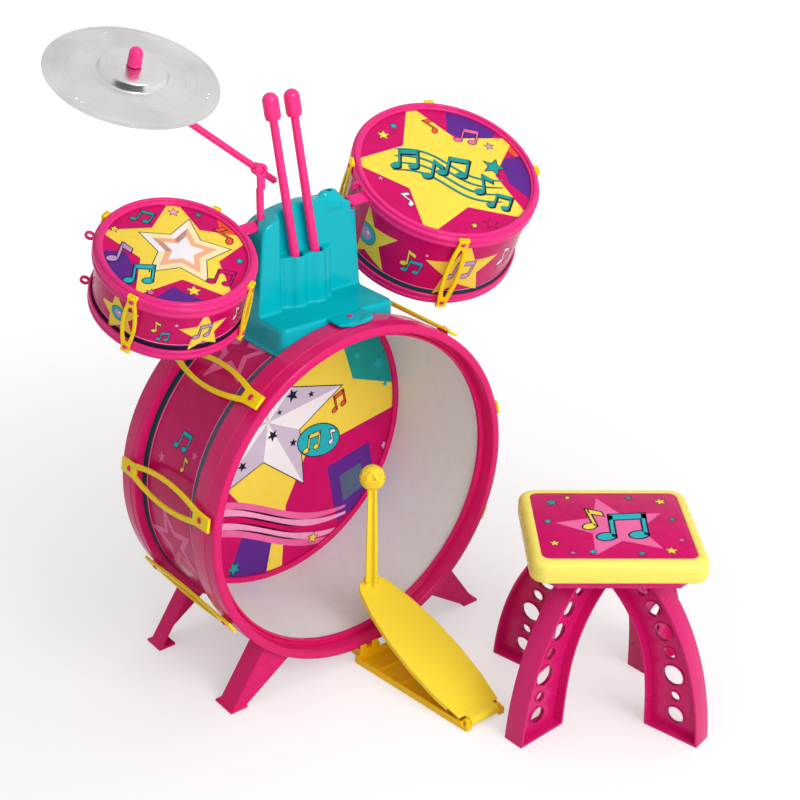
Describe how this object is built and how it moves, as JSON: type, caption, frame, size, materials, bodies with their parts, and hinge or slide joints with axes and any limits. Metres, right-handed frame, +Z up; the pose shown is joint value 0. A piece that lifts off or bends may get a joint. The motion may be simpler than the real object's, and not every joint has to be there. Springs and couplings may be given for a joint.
{
  "type": "toy drum kit",
  "caption": "Child's plastic drum kit: bass drum with foot pedal, two hooked-on toms, tilting cymbal on a rod, drumsticks in tubes and a four-legged stool.",
  "frame": {"origin": "centre of the bounding box's base, on the floor", "axes": "+Z up, +Y from the player's side to the printed head, +X to the player's right"},
  "size_m": [0.5636, 0.5608, 0.6869],
  "materials": {
    "drum_pink": "smooth moulded, glossy",
    "strap_yellow": "smooth moulded, glossy",
    "printed_head": "printed sheet, satin",
    "printed_wrap": "printed wrap, satin gloss",
    "teal": "smooth moulded, glossy",
    "pedal_yellow": "smooth moulded, glossy",
    "rod_pink": "smooth moulded, glossy",
    "pin_steel": "drawn wire, plain",
    "cymbal_steel": "spun, concentric brushing",
    "seat_yellow": "smooth moulded, satin gloss",
    "label_print": "printed paper-like label, satin",
    "leg_magenta": "smooth moulded, glossy"
  },
  "bodies": {
    "kit": {"bass_far_hoop": "drum_pink", "bass_head": "printed_head", "bass_near_hoop": "drum_pink", "bass_shell": "printed_wrap", "bass_strap_1": "strap_yellow", "bass_strap_2": "strap_yellow", "bass_strap_3": "strap_yellow", "bass_strap_4": "strap_yellow", "bass_strap_5": "strap_yellow", "bass_strap_6": "strap_yellow", "foot_far_left": "drum_pink", "foot_far_right": "drum_pink", "foot_near_left": "drum_pink", "foot_near_right": "drum_pink", "left_tom_bottom_hoop": "drum_pink", "left_tom_head": "printed_head", "left_tom_shell": "printed_wrap", "left_tom_strap_1": "strap_yellow", "left_tom_strap_2": "strap_yellow", "left_tom_strap_3": "strap_yellow", "left_tom_strap_4": "strap_yellow", "left_tom_top_hoop": "drum_pink", "pedal_base": "pedal_yellow", "pedal_pin": "pin_steel", "pedal_spring": "pin_steel", "right_tom_bottom_hoop": "drum_pink", "right_tom_head": "printed_head", "right_tom_shell": "printed_wrap", "right_tom_strap_1": "strap_yellow", "right_tom_strap_2": "strap_yellow", "right_tom_strap_3": "strap_yellow", "right_tom_strap_4": "strap_yellow", "right_tom_top_hoop": "drum_pink", "stand": "teal"},
    "pedal": {"footboard": "pedal_yellow", "beater_stick": "pedal_yellow", "beater_ball": "pedal_yellow"},
    "cymbal_rod_body": {"cymbal_rod": "rod_pink"},
    "cymbal_arm_body": {"cymbal_arm": "rod_pink", "cymbal_cap": "rod_pink"},
    "cymbal_body": {"cymbal": "cymbal_steel"},
    "left_stick": {"drumstick_left": "rod_pink"},
    "right_stick": {"drumstick_right": "rod_pink"},
    "stool": {"stool_label": "label_print", "stool_leg_back_left": "leg_magenta", "stool_leg_back_right": "leg_magenta", "stool_leg_front_left": "leg_magenta", "stool_leg_front_right": "leg_magenta", "stool_seat": "seat_yellow"}
  },
  "joints": [
    {"name": "pedal_hinge", "type": "hinge", "parent": "kit", "child": "pedal", "pos_m": [0.01646, -0.11063, 0.007], "axis": [1, 0, 0], "range_deg": [-7.5, 0], "stiffness_Nm_per_rad": 1.5, "springref_deg": 6.88},
    {"name": "rod_swivel", "type": "hinge", "parent": "kit", "child": "cymbal_rod_body", "pos_m": [-0.06604, 0.15437, 0.5], "axis": [0, 0, 1], "range_deg": [-8, 90]},
    {"name": "arm_tilt", "type": "hinge", "parent": "cymbal_rod_body", "child": "cymbal_arm_body", "pos_m": [-0.06604, 0.15637, 0.5445], "axis": [0, 1, 0], "range_deg": [-25, 12]},
    {"name": "cymbal_spin", "type": "hinge", "parent": "cymbal_arm_body", "child": "cymbal_body", "pos_m": [-0.20134, 0.15167, 0.6565], "axis": [0.01, -0.3782, 0.9257], "continuous": true},
    {"name": "left_stick_lift", "type": "slide", "parent": "kit", "child": "left_stick", "axis": [-0.1564, 0, 0.9877], "range_m": [0, 0.06]},
    {"name": "right_stick_lift", "type": "slide", "parent": "kit", "child": "right_stick", "axis": [-0.1564, 0, 0.9877], "range_m": [0, 0.06]},
    {"name": "stool_slide", "type": "slide", "parent": "kit", "child": "stool", "axis": [0, -1, 0], "range_m": [0, 0.2]}
  ]
}
